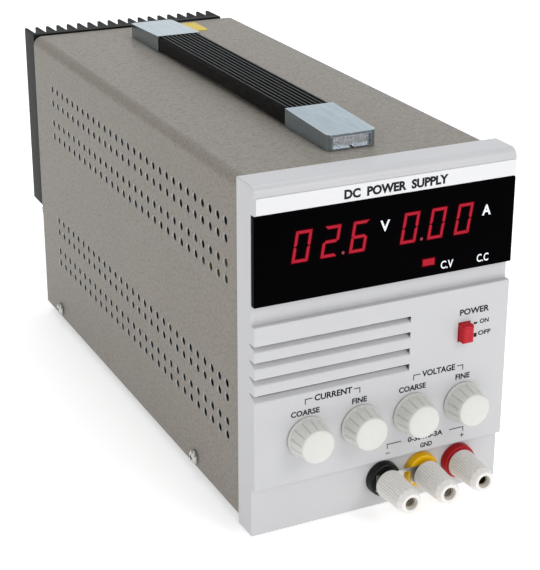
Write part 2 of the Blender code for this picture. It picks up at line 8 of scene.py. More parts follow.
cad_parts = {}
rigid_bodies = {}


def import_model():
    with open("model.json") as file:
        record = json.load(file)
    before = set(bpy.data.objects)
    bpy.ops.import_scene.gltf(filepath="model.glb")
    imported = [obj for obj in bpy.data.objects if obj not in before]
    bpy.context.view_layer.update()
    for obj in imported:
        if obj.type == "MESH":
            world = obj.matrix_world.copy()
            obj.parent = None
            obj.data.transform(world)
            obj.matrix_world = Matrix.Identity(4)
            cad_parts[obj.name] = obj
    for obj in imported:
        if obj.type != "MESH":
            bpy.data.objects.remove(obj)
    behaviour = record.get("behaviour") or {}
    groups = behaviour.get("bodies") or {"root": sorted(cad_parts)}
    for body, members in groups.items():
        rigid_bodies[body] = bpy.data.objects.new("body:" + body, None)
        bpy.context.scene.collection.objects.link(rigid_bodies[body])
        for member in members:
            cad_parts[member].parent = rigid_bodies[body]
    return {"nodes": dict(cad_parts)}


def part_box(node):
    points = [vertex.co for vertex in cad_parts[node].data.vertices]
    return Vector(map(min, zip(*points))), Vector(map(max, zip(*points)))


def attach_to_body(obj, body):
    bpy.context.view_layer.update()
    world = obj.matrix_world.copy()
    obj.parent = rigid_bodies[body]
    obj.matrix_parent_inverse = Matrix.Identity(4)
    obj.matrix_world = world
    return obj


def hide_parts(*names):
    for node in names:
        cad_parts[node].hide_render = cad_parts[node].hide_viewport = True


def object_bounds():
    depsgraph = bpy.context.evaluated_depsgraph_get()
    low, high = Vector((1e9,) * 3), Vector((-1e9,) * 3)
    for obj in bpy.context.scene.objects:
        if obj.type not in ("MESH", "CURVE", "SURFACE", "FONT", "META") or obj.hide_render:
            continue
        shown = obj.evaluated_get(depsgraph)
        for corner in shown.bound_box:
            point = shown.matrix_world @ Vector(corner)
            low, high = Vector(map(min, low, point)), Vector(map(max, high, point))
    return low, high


# The looks of a bench power supply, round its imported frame. Metres, +Z up, front panel facing -Y.
for startup in list(bpy.data.objects):
    bpy.data.objects.remove(startup, do_unlink=True)

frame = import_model()
CAD_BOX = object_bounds()

# ---- Places, all from the frame --------------------------------------------------------------------------
BEZEL_LOW, BEZEL_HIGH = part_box("front_bezel")
WINDOW_LOW, WINDOW_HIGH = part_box("display_window")
COVER_LOW, COVER_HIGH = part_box("cover")
HALF_WIDTH = BEZEL_HIGH.x
BACK = BEZEL_HIGH.y  # where the bezel meets the cover
BASE = BEZEL_LOW.z  # lower edge of the bezel
TOP = BEZEL_HIGH.z
FACE = WINDOW_LOW.y  # front of the control panel and of the window
GAP = 0.0003
SEAT = WINDOW_HIGH.y + GAP  # the recessed levels of the front
STRIP_TOP = BASE + 0.0241
PANEL_TOP = BASE + 0.1004
CAVITY_FRONT = BACK - 0.0105
INK = 0.00005  # thickness of printed marks
KNOBS = ("current_coarse", "current_fine", "voltage_coarse", "voltage_fine")
POSTS = ("negative", "ground", "positive")
X, Y, Z = 0, 1, 2


def middle(node):
    """The middle of a CAD node's box."""
    low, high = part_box(node)
    return (low + high) / 2


# ---- Materials -------------------------------------------------------------------------------------------
def linear(*srgb):
    """Scene-linear colour of an 0 to 255 display colour."""
    values = [value / 255 for value in srgb]
    return [v / 12.92 if v <= 0.04045 else ((v + 0.055) / 1.055) ** 2.4 for v in values]


def surface(name, colour, roughness, metallic=0.0, patches=0.05, patch_scale=28.0, speckle=0.02,
            grain=0.10, grain_scale=900.0, spread=0.07, stretch=(1, 1, 1), edge_wear_and_highlight=0.0, **sockets):
    """A Principled material: broad patches, a fine grain in colour, gloss and height, and edges lightened as
    wear and as a painted highlight.
    """
    made = bpy.data.materials.new(name)
    made.use_nodes = True
    tree = made.node_tree
    shader = tree.nodes["Principled BSDF"]
    link = tree.links.new

    def node(kind, **values):
        new = tree.nodes.new(kind)
        for key, value in values.items():
            new.inputs[key].default_value = value
        return new

    def blend(factor, first, second):
        mix = tree.nodes.new("ShaderNodeMix")
        mix.data_type = "RGBA"
        link(factor, mix.inputs[0])
        for value, socket in ((first, mix.inputs[6]), (second, mix.inputs[7])):
            if isinstance(value, bpy.types.NodeSocket):
                link(value, socket)
            else:
                socket.default_value = (*value, 1.0)
        return mix.outputs[2]

    def ranged(source, low, high, to_low=0.0, to_high=1.0):
        values = {"From Min": low, "From Max": high, "To Min": to_low, "To Max": to_high}
        made_range = node("ShaderNodeMapRange", **values)
        link(source, made_range.inputs["Value"])
        return made_range.outputs[0]

    mapping = node("ShaderNodeMapping", Scale=stretch)
    link(tree.nodes.new("ShaderNodeTexCoord").outputs["Object"], mapping.inputs["Vector"])
    broad = node("ShaderNodeTexNoise", Scale=patch_scale, Detail=3.0)
    fine = node("ShaderNodeTexNoise", Scale=grain_scale, Detail=2.0)
    for noise in (broad, fine):
        link(mapping.outputs["Vector"], noise.inputs["Vector"])
    darker = [c * (1 - patches) for c in colour]
    lighter = [min(1.0, c * (1 + patches)) for c in colour]
    base = blend(ranged(broad.outputs[0], 0.3, 0.7), darker, lighter)
    grit = [0.0 if speckle > 0 else 1.0] * 3
    base = blend(ranged(fine.outputs[0], 0.45, 0.75, 0.0, abs(speckle)), base, grit)
    # Lighter rounded edges: partly wear, partly a painted highlight where the edges would catch the light.
    if edge_wear_and_highlight:
        rounded = node("ShaderNodeBevel", Radius=0.0007)
        facing = tree.nodes.new("ShaderNodeVectorMath")
        facing.operation = "DOT_PRODUCT"
        link(rounded.outputs[0], facing.inputs[0])
        link(tree.nodes.new("ShaderNodeNewGeometry").outputs["Normal"], facing.inputs[1])
        edges = ranged(facing.outputs["Value"], 0.98, 0.80, 0.0, edge_wear_and_highlight)
        base = blend(edges, base, [min(1.0, 0.25 + 1.1 * c) for c in colour])
    link(base, shader.inputs["Base Color"])
    mottled = node("ShaderNodeMath")
    mottled.operation = "ADD"
    half_spread = spread / 2
    link(ranged(broad.outputs[0], 0.3, 0.7, roughness - half_spread, roughness), mottled.inputs[0])
    link(ranged(fine.outputs[0], 0.3, 0.7, 0.0, half_spread), mottled.inputs[1])
    link(mottled.outputs[0], shader.inputs["Roughness"])
    if grain:
        bump = node("ShaderNodeBump", Strength=grain, Distance=0.0004)
        link(fine.outputs[0], bump.inputs["Height"])
        link(bump.outputs["Normal"], shader.inputs["Normal"])
    shader.inputs["Metallic"].default_value = metallic
    for socket, value in sockets.items():
        shader.inputs[socket.replace("_", " ")].default_value = value
    return made


def glowing(name, colour, strength):
    """A lit display segment: brighter and duller grains in a red light."""
    made = surface(name, [c * 0.15 for c in colour], 0.5, grain_scale=1500.0, Specular_IOR_Level=0.0)
    shader = made.node_tree.nodes["Principled BSDF"]
    shader.inputs["Emission Color"].default_value = (*colour, 1.0)
    shader.inputs["Emission Strength"].default_value = strength
    return made


# The edge setting of each material lightens its rounded edges: partly wear, partly a painted highlight,
# strongest on the chrome and the panel.
PAINT = surface("painted_grey", linear(145, 139, 131), 0.33, patches=0.03, patch_scale=16.0, speckle=0.30,
                grain=0.30, grain_scale=800.0, spread=0.10, edge_wear_and_highlight=0.10, Specular_IOR_Level=0.04)
# Near-black finish for the cover's inner skin and for the vent and screw-hole walls: painted shade of the
# dark interior, not the sheet's own colour.
INSIDE_PAINTED_SHADE = surface("case_inside_painted_shade", linear(9, 8, 8), 0.8, patches=0.1, Specular_IOR_Level=0.02)
PANEL = surface("panel_plastic", linear(197, 197, 199), 0.33, patches=0.015, speckle=0.03, grain=0.05,
                grain_scale=1600.0, edge_wear_and_highlight=0.5, Specular_IOR_Level=0.4)
FILM = surface("printed_film", linear(222, 222, 224), 0.32, patches=0.01, speckle=0.01, grain=0.02)
ACRYLIC = surface("smoked_acrylic", linear(2, 1, 2), 0.12, patches=0.2, speckle=0.0, grain=0.0,
                  spread=0.06, Specular_IOR_Level=0.01)
IVORY = surface("knob_plastic", linear(212, 212, 207), 0.36, patches=0.02, speckle=0.04, grain=0.05,
                edge_wear_and_highlight=0.35, Coat_Weight=0.1, Coat_Roughness=0.2)
POST_GREY = surface("post_plastic", linear(234, 231, 227), 0.42, patches=0.03, speckle=0.05, edge_wear_and_highlight=0.3,
                    Specular_IOR_Level=0.3)
RED = surface("red_plastic", linear(184, 8, 30), 0.32, patches=0.06, edge_wear_and_highlight=0.10, Specular_IOR_Level=0.3)
CHROME = surface("chrome_cap", linear(158, 172, 180), 0.18, 1.0, patches=0.07, patch_scale=70.0,
                 speckle=0.10, grain=0.08, grain_scale=420.0, spread=0.12, stretch=(1, 0.2, 1), edge_wear_and_highlight=0.9)
SATIN = surface("satin_cap", linear(214, 218, 224), 0.38, 1.0, patches=0.12, patch_scale=500.0, speckle=0.60,
                grain=0.5, grain_scale=1300.0)
RUBBER = surface("grip_rubber", linear(3, 3, 4), 0.30, patches=0.18, patch_scale=60.0, speckle=-0.01,
                 grain=0.10, stretch=(1, 0.2, 1), Specular_IOR_Level=0.07)
FOOT_RUBBER = surface("rubber", linear(34, 34, 34), 0.72, patches=0.15, speckle=-0.03, grain=0.25)
ANODISED = surface("black_anodised", linear(20, 21, 19), 0.5, patches=0.12, patch_scale=45.0,
                   speckle=-0.01, grain=0.10, stretch=(1, 1, 0.08), Specular_IOR_Level=0.08)
# Zinc-plated steel of the chassis. Its colour is darkened to a dark grey: partly a dark finish, partly
# painted shade for the interior seen through the vents.
DARKENED_ZINC = surface("zinc_steel", linear(80, 81, 80), 0.50, 0.3, patches=0.10, patch_scale=45.0, grain=0.08)
PLATED = surface("plated_steel", linear(196, 196, 190), 0.24, 1.0, patches=0.10, patch_scale=160.0,
                 grain=0.06, edge_wear_and_highlight=0.4)
NICKEL = surface("nickel_brass", linear(196, 188, 168), 0.24, 1.0, patches=0.08, patch_scale=220.0,
                 stretch=(1, 0.1, 1))
BLACK = surface("black_plastic", linear(24, 25, 26), 0.42, patches=0.12, speckle=-0.03, grain=0.12, edge_wear_and_highlight=0.06)
COLLARS = {
    "negative": surface("black_collar", linear(14, 15, 17), 0.30, patches=0.12, speckle=-0.01,
                        Specular_IOR_Level=0.25),
    "ground": surface("yellow_collar", linear(236, 182, 4), 0.34, patches=0.05, Specular_IOR_Level=0.3),
    "positive": surface("red_collar", linear(168, 10, 20), 0.32, patches=0.06, Specular_IOR_Level=0.25),
}
PAPER = surface("yellow_paper", linear(218, 192, 84), 0.62, patches=0.06, speckle=0.25, grain=0.15)
BOARD = surface("circuit_board", linear(32, 92, 58), 0.45, patches=0.12, patch_scale=120.0)
MODULE = surface("digit_module", linear(30, 30, 30), 0.5, patches=0.1)
LAMP_OFF = surface("red_lamp", linear(120, 24, 30), 0.3, patches=0.1)
CORE = surface("core_steel", linear(96, 93, 88), 0.45, 0.7, patches=0.15, stretch=(1, 8, 1))
TAPE = surface("winding_tape", linear(222, 196, 98), 0.38, patches=0.06, stretch=(1, 1, 6))
SLEEVE = surface("capacitor_sleeve", linear(34, 44, 78), 0.28, patches=0.08)
SHELL = surface("pot_body", linear(150, 148, 142), 0.4, 0.8, patches=0.08)
DARK_INK = surface("dark_ink", linear(16, 18, 24), 0.6, patches=0.08, speckle=0.0, grain=0.0,
                   Specular_IOR_Level=0.2)
WHITE_INK = surface("white_ink", linear(232, 236, 240), 0.5, patches=0.04, speckle=0.0, grain=0.0)
LIT = glowing("lit_segment", linear(196, 42, 60), 0.72)
HALO = glowing("lit_halo", linear(66, 2, 10), 0.8)
POINT = glowing("lit_point", linear(160, 70, 86), 0.8)


# ---- Mesh tools ------------------------------------------------------------------------------------------
def build(name, bm, finish=None, sharp=35):
    """An object from a bmesh whose points are already in the frame."""
    bmesh.ops.recalc_face_normals(bm, faces=bm.faces)
    mesh = bpy.data.meshes.new(name)
    bm.to_mesh(mesh)
    bm.free()
    for face in mesh.polygons:
        face.use_smooth = True
    mesh.set_sharp_from_angle(angle=math.radians(sharp))
    obj = bpy.data.objects.new(name, mesh)
    bpy.context.scene.collection.objects.link(obj)
    if finish:
        mesh.materials.append(finish)
    return obj


def attach(obj, slot, *nodes, body="case"):
    """Makes the piece ride on its body and stand for the given nodes. The slot is not used."""
    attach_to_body(obj, body)
    if nodes:
        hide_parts(*nodes)
    return obj


def soften(obj, width, segments=3, angle=40):
    """Rounds every edge sharper than the angle and keeps the flat faces flat."""
    bevel = obj.modifiers.new("soft_edges", "BEVEL")
    bevel.width = width
    bevel.segments = segments
    bevel.limit_method = "ANGLE"
    bevel.angle_limit = math.radians(angle)
    bevel.harden_normals = True
    return obj


def settle(obj):
    """Replaces the object's mesh by what its modifiers make of it."""
    graph = bpy.context.evaluated_depsgraph_get()
    old = obj.data
    obj.data = bpy.data.meshes.new_from_object(obj.evaluated_get(graph))
    obj.data.name = old.name
    obj.modifiers.clear()
    return obj


def carve(obj, *tools, solver="EXACT"):
    """Removes the tools' shapes from the object, and deletes the tools."""
    for tool in tools:
        change = obj.modifiers.new(tool.name, "BOOLEAN")
        change.operation = "DIFFERENCE"
        change.solver = solver
        change.object = tool
    settle(obj)
    for tool in tools:
        bpy.data.objects.remove(tool, do_unlink=True)
    return obj


def even_normals(obj, sharp=35):
    """Smooth shading in which large flat faces keep their own direction."""
    for face in obj.data.polygons:
        face.use_smooth = True
    obj.data.set_sharp_from_angle(angle=math.radians(sharp))
    weighted = obj.modifiers.new("even_normals", "WEIGHTED_NORMAL")
    weighted.keep_sharp = True
    return obj


def skin(bm, rings, capped=True, closed=False):
    """Faces between rings of points; the first and last are capped, or joined to each other."""
    made = [[bm.verts.new(point) for point in ring] for ring in rings]
    pairs = list(zip(made, made[1:]))
    if closed:
        pairs.append((made[-1], made[0]))
    for near, far in pairs:
        for index in range(len(near)):
            following = (index + 1) % len(near)
            bm.faces.new((near[index], near[following], far[following], far[index]))
    if capped and not closed:
        bm.faces.new(made[0])
        bm.faces.new(made[-1])


def block(bm, low, high):
    """Adds a box between two corners."""
    corners = [(low[0], low[1]), (high[0], low[1]), (high[0], high[1]), (low[0], high[1])]
    skin(bm, [[(x, y, z) for x, y in corners] for z in (low[2], high[2])])


def box_object(name, low, high, finish=None):
    """A box between two corners as an object of its own."""
    bm = bmesh.new()
    block(bm, low, high)
    return build(name, bm, finish)


def extruded(name, outline, axis, start, end, finish=None, sharp=35):
    """An outline in the two other axes, in X, Y, Z order, drawn along one axis."""
    bm = bmesh.new()
    rings = []
    for along in (start, end):
        ring = []
        for pair in outline:
            point = list(pair)
            point.insert(axis, along)
            ring.append(point)
        rings.append(ring)
    skin(bm, rings)
    return build(name, bm, finish, sharp)


def ring_points(centre, axis, along, radius, steps, shape=None):
    """A ring round one axis through a centre, at a distance along it. shape(turn) scales its radius."""
    points = []
    for step in range(steps):
        turn = 2 * math.pi * step / steps
        reach = radius * (shape(turn) if shape else 1.0)
        point = [0.0, 0.0, 0.0]
        point[axis] = along
        point[(axis + 1) % 3] = centre[(axis + 1) % 3] + reach * math.cos(turn)
        point[(axis + 2) % 3] = centre[(axis + 2) % 3] + reach * math.sin(turn)
        points.append(point)
    return points


def turned(name, centre, axis, profile, finish=None, steps=64, closed=False, sharp=35):
    """A profile of (radius, place along the axis) pairs, turned about the axis through a centre."""
    bm = bmesh.new()
    skin(bm, [ring_points(centre, axis, along, radius, steps) for radius, along in profile], closed=closed)
    return build(name, bm, finish, sharp)


def arc(centre, radii, start, end, steps):
    """Points on an ellipse from one angle to another, in degrees."""
    points = []
    for step in range(steps + 1):
        turn = math.radians(start + (end - start) * step / steps)
        points.append((centre[0] + radii[0] * math.cos(turn), centre[1] + radii[1] * math.sin(turn)))
    return points


def rounded_rectangle(centre, half, radius, steps=5):
    """An outline with quarter-circle corners, anticlockwise."""
    points = []
    for turn, (across, up) in enumerate(((1, 1), (-1, 1), (-1, -1), (1, -1))):
        place = (centre[0] + across * (half[0] - radius), centre[1] + up * (half[1] - radius))
        points += arc(place, (radius, radius), 90 * turn, 90 * turn + 90, steps)
    return points


def fillet(before, corner, after, steps=4):
    """A curve that leaves one point, bends round the corner and ends at another."""
    points = []
    for step in range(steps + 1):
        t = step / steps
        weights = ((1 - t) ** 2, 2 * t * (1 - t), t * t)
        points.append(tuple(sum(w * p[i] for w, p in zip(weights, (before, corner, after))) for i in (0, 1)))
    return points


def mark(bm, points, y=FACE, thickness=INK):
    """A flat printed shape on a surface that faces -Y, from its (x, z) outline."""
    skin(bm, [[(x, y - out, z) for x, z in points] for out in (0.0, thickness)])


def line_mark(bm, x0, z0, x1, z1, y=FACE):
    """A printed bar between two corners."""
    mark(bm, [(x0, z0), (x1, z0), (x1, z1), (x0, z1)], y)


def lettering(bm, words, x, z, width, height, y=FACE, bold=0.03):
    """Printed words that fill the given width and height from their lower left corner."""
    curve = bpy.data.curves.new("words", "FONT")
    curve.body = words
    curve.offset = bold
    curve.resolution_u = 3
    curve.extrude = 0.5
    obj = bpy.data.objects.new("words", curve)
    bpy.context.scene.collection.objects.link(obj)
    bpy.context.view_layer.update()
    mesh = bpy.data.meshes.new_from_object(obj.evaluated_get(bpy.context.evaluated_depsgraph_get()))
    low = [min(v.co[i] for v in mesh.vertices) for i in (0, 1)]
    high = [max(v.co[i] for v in mesh.vertices) for i in (0, 1)]
    for vertex in mesh.vertices:
        across = (vertex.co.x - low[0]) / (high[0] - low[0])
        up = (vertex.co.y - low[1]) / (high[1] - low[1])
        vertex.co = (x + width * across, y - INK * (vertex.co.z + 0.5), z + height * up)
    bm.from_mesh(mesh)
    bpy.data.objects.remove(obj, do_unlink=True)
    bpy.data.meshes.remove(mesh)


# ---- Case ------------------------------------------------------------------------------------------------
VENT_ROWS = (0.1368, 0.1289, 0.1179, 0.1103, 0.0616, 0.0547, 0.0431, 0.0363)
VENT_FIRST, VENT_LAST, VENT_COUNT = 0.0146, 0.2430, 29
VENT_RADIUS = 0.0022
SHEET = 0.0006  # the sheet as it looks at the vents' edges


def cover_outline(y, inset):
    """The bent sheet's section at y; inset draws its outer skin in."""
    half = COVER_HIGH.x
    bend, steps = 0.0050, 12
    centre_z = COVER_HIGH.z - bend
    outline = []
    for drawn, order in ((inset, 1), (SHEET, -1)):
        radius = bend - drawn
        side = [(half - drawn, COVER_LOW.z)]
        side += arc((half - bend, centre_z), (radius, radius), 0, 90, steps)
        side += arc((bend - half, centre_z), (radius, radius), 90, 180, steps)
        side += [(drawn - half, COVER_LOW.z)]
        outline += side[::order]
    return [(x, y, z) for x, z in outline]


def bend_normal(face, point):
    """The true direction of the rounded bends at a point, or the face's own direction elsewhere."""
    bend = 0.0050
    across = abs(point.x) - (COVER_HIGH.x - bend)
    up = point.z - (COVER_HIGH.z - bend)
    if across < -1e-6 or up < -1e-6 or abs(face.normal.y) > 0.1:
        return face.normal
    radial = Vector((math.copysign(across, point.x), 0, up)).normalized()
    return radial if radial.dot(face.normal) > 0 else -radial


def vents():
    """All the side vents' drill shapes in one object, through both sides."""
    bm = bmesh.new()
    pitch = (VENT_LAST - VENT_FIRST) / (VENT_COUNT - 1)
    reach = COVER_HIGH.x + 0.001
    for row in VENT_ROWS:
        for column in range(VENT_COUNT):
            place = (0, BACK + VENT_FIRST + pitch * column, BASE + row)
            for start, end in ((-reach, 0.004 - reach), (reach - 0.004, reach)):
                skin(bm, [ring_points(place, X, along, VENT_RADIUS, 16) for along in (start, end)])
    return build("vents", bm)


def make_cover():
    """The bent sheet with its vents and screw holes, its rear edge a little rounded."""
    hem = 0.0010
    rings = [cover_outline(COVER_LOW.y, 0.0)]
    for step in range(6):
        turn = math.radians(18 * step)
        y = COVER_HIGH.y - hem * (1 - math.sin(turn))
        rings.append(cover_outline(y, 0.3 * hem * (1 - math.cos(turn))))
    bm = bmesh.new()
    skin(bm, rings)
    cover = build("case_cover", bm, PAINT)
    holes = [vents()]
    for side in ("left", "right"):
        for end in ("front", "rear"):
            place = middle(f"cover_screw_{side}_{end}")
            hole = [(0.0017, place.x - 0.005), (0.0017, place.x + 0.005)]
            holes.append(turned(f"screw_hole_{side}_{end}", place, X, hole, steps=24))
    carve(cover, *holes, solver="MANIFOLD")
    mesh = cover.data
    for face in mesh.polygons:
        face.use_smooth = True
    # The inner skin and the hole walls take the near-black painted shade. Only the outer faces take the grey
    # paint.
    mesh.materials.append(INSIDE_PAINTED_SHADE)
    normals = [None] * len(mesh.loops)
    for face in mesh.polygons:
        centre = face.center
        outer = abs(centre.x) > COVER_HIGH.x - 0.00001 or centre.z > COVER_HIGH.z - 0.0050
        face.material_index = 0 if outer and face.normal.dot(Vector((centre.x, 0, centre.z))) > 0 else 1
        for loop in face.loop_indices:
            point = mesh.vertices[mesh.loops[loop].vertex_index].co
            normals[loop] = bend_normal(face, point)
    mesh.normals_split_custom_set(normals)
    attach(cover, "painted_grey", "cover")


def make_cover_screws():
    """Pan heads with a cross recess."""
    for side, sign in (("left", -1), ("right", 1)):
        for end in ("front", "rear"):
            node = f"cover_screw_{side}_{end}"
            low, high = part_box(node)
            place = (low + high) / 2
            tip = (high.x, low.x)[sign < 0]
            seat = tip - sign * 0.0021
            profile = [(0.0013, seat - sign * 0.004), (0.0013, seat), (0.0034, seat)]
            crown = arc((0.0006, 0.0016), (0.0015, 0.0018), 88, 0, 10)
            profile += [(radius, seat + sign * out) for out, radius in crown]
            screw = turned("screw_" + side + "_" + end, place, X, profile, PLATED, steps=40)
            arms = []
            for index, (wide, tall) in enumerate(((0.0018, 0.00035), (0.00035, 0.0018))):
                inner, outer = sorted((tip - sign * 0.0011, tip + sign * 0.001))
                arms.append(box_object(f"arm_{index}", (inner, place.y - wide, place.z - tall),
                                       (outer, place.y + wide, place.z + tall)))
            carve(screw, *arms)
            attach(even_normals(screw), "plated_steel", node)


def make_feet():
    """Rubber feet with a sunk screw."""
    for side in ("left", "right"):
        for end in ("front", "rear"):
            node = f"foot_{side}_{end}"
            low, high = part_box(node)
            place = (low + high) / 2
            profile = [(0.0022, high.z), (0.0074, high.z), (0.0073, high.z - 0.0008)]
            profile += [(0.0068, low.z + 0.0010), (0.0066, low.z + 0.0004), (0.0062, low.z)]
            profile += [(0.0040, low.z), (0.0036, low.z + 0.0004)]
            profile += [(0.0035, low.z + 0.0022), (0.0022, low.z + 0.0022)]
            foot = turned("rubber_" + node, place, Z, profile, FOOT_RUBBER, steps=56, closed=True)
            attach(foot, "rubber", node)
            head = [(0.0017, low.z + 0.0018), (0.0030, low.z + 0.0018), (0.0028, low.z + 0.0012)]
            head += [(0.0018, low.z + 0.0008), (0.0004, low.z + 0.0007)]
            attach(turned("screw_of_" + node, place, Z, head, PLATED, steps=40), "plated_steel")


# ---- Front -----------------------------------------------------------------------------------------------
LOUVRES = ((0.0918, 0.0890), (0.0844, 0.0814), (0.0767, 0.0736), (0.0692, 0.0657))  # upper and lower edge
LOUVRE_RIGHT = 0.0124
BUTTON = middle("power_button")


def bezel_outline():
    """Section of the moulded front, from the lower back corner up the front and over the brow."""
    edge = 0.0007
    outline = [(BACK, BASE)]
    outline += fillet((SEAT + edge, BASE), (SEAT, BASE), (SEAT, BASE + edge))
    outline += fillet((SEAT, STRIP_TOP - 0.0004), (SEAT, STRIP_TOP), (SEAT - 0.0004, STRIP_TOP), 2)
    outline += fillet((FACE + edge, STRIP_TOP), (FACE, STRIP_TOP), (FACE, STRIP_TOP + edge))
    outline += fillet((FACE, PANEL_TOP - edge), (FACE, PANEL_TOP), (FACE + edge, PANEL_TOP))
    outline += fillet((SEAT - 0.0005, PANEL_TOP), (SEAT, PANEL_TOP), (SEAT, PANEL_TOP + 0.0005), 2)
    shelf = WINDOW_HIGH.z + GAP
    outline += [(SEAT, shelf), (FACE, shelf)]
    brow = (0.0042, 0.0042)
    outline += arc((FACE + brow[0], TOP - brow[1]), brow, 180, 90, 14)
    outline.append((BACK, TOP))
    return outline


def louvre(index, upper, lower):
    """A ramped groove, open at the left side, with a rounded lip where the ramp meets the face."""
    depth, past, lip = 0.0055, 0.0008, 0.0007
    roof, floor = BASE + upper, BASE + lower
    slope = (roof - floor) / depth
    ramp_end = (FACE + lip, floor + slope * lip)
    outline = [(FACE - past, roof), (FACE + depth, roof)]
    outline += fillet(ramp_end, (FACE, floor), (FACE, floor - lip))
    outline.append((FACE - past, floor - lip))
    return extruded(f"louvre_{index}", outline, X, -HALF_WIDTH - 0.002, LOUVRE_RIGHT)


def louvre_openings(index, upper, lower):
    """The slit at the deep end of a louvre and the open right end, both into the hollow behind."""
    roof, floor = BASE + upper, BASE + lower
    inner, deep, rim = HALF_WIDTH - 0.003, CAVITY_FRONT + 0.001, 0.0007
    slit = box_object(f"slit_{index}", (-inner, FACE + 0.0026, roof - 0.0020), (LOUVRE_RIGHT, deep, roof))
    end = box_object(f"end_slot_{index}", (LOUVRE_RIGHT - 0.0004, FACE + rim, floor + rim),
                     (LOUVRE_RIGHT + 0.0030, deep, roof - 0.0001))
    return [slit, end]


def make_bezel():
    """The moulded front, hollow behind, with its louvres and the holes for all that stands on it."""
    bezel = extruded("front_moulding", bezel_outline(), X, -HALF_WIDTH, HALF_WIDTH, PANEL)
    ends = bezel.modifiers.new("end_edges", "BEVEL")
    ends.width = 0.0006
    ends.segments = 3
    ends.limit_method = "ANGLE"
    ends.angle_limit = math.radians(60)
    settle(bezel)
    wall = 0.003
    inner = HALF_WIDTH - wall
    around = 0.0004
    low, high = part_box("power_button")
    tools = [
        box_object("hollow", (-inner, CAVITY_FRONT, BASE + wall), (inner, BACK + 0.002, TOP - wall)),
        box_object("display_hole", (-0.056, FACE - 0.002, WINDOW_LOW.z + 0.0035),
                   (0.056, CAVITY_FRONT + 0.002, WINDOW_HIGH.z - 0.003)),
        box_object("button_hole", (low.x - around, FACE - 0.002, BUTTON.z - (high.z - low.z) / 2 - around),
                   (high.x + around, CAVITY_FRONT + 0.002, BUTTON.z + (high.z - low.z) / 2 + around)),
    ]
    for index, (upper, lower) in enumerate(LOUVRES):
        tools.append(louvre(index, upper, lower))
        tools += louvre_openings(index, upper, lower)
    hole = [(0.0046, FACE - 0.002), (0.0046, CAVITY_FRONT + 0.002)]
    for node in ["knob_" + name for name in KNOBS] + ["post_collar_" + name for name in POSTS]:
        tools.append(turned("hole_" + node, middle(node), Y, hole, steps=32))
    carve(bezel, *tools)
    attach(even_normals(bezel, 30), "panel_plastic", "front_bezel")


def make_window():
    """The dark window and the pale printed strip above it."""
    window = box_object("meter_window", WINDOW_LOW, WINDOW_HIGH, ACRYLIC)
    attach(soften(window, 0.0004), "smoked_acrylic", "display_window")
    low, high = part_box("name_strip")
    place = ((low.x + high.x) / 2, (low.z + high.z) / 2)
    half = ((high.x - low.x) / 2, (high.z - low.z) / 2)
    strip = extruded("printed_strip", rounded_rectangle(place, half, 0.0008), Y, low.y + 0.0001, FACE, FILM)
    attach(strip, "printed_film", "name_strip")


SEGMENTS = {"0": "abcdef", "2": "abged", "6": "acdefg"}
DIGIT_WIDTH, DIGIT_HEIGHT, DIGIT_SLANT = 0.0074, 0.0136, 0.16
DIGIT_LOW = BASE + 0.1261
STROKE = 0.00125


def segment(name, thick):
    """A display segment's outline, with mitred ends, round the middle lines of an upright digit."""
    wide, tall = DIGIT_WIDTH - STROKE, DIGIT_HEIGHT - STROKE
    half, gap = thick / 2, 0.0001
    if name == "g":
        z = tall / 2
        return [(gap, z), (half, z + half), (wide - half, z + half), (wide - gap, z),
                (wide - half, z - half), (half, z - half)]
    if name in "ad":
        z, out = (tall, half) if name == "a" else (0.0, -half)
        return [(gap - half, z + out), (wide + half - gap, z + out), (wide - half - gap, z - out),
                (half + gap, z - out)]
    x, out = (0.0, -half) if name in "ef" else (wide, half)
    end, inward = (0.0, 1) if name in "ec" else (tall, -1)
    near, far = end - inward * (half - gap), tall / 2 - inward * gap
    return [(x + out, near), (x - out, end + inward * (half + gap)), (x - out, far - inward * half),
            (x, far), (x + out, far - inward * 0.3 * half)]


def digit(bm, figure, left, thick, y):
    """Lit segments of one figure, leaning to the right."""
    edge = STROKE / 2
    for name in SEGMENTS[figure]:
        points = []
        for across, up in segment(name, thick):
            points.append((left + edge + across + DIGIT_SLANT * (up + edge), DIGIT_LOW + edge + up))
        mark(bm, points, y)


def dot(bm, x, z, radius, y):
    """A printed round dot."""
    turns = [2 * math.pi * step / 16 for step in range(16)]
    mark(bm, [(x + radius * math.cos(turn), z + radius * math.sin(turn)) for turn in turns], y)


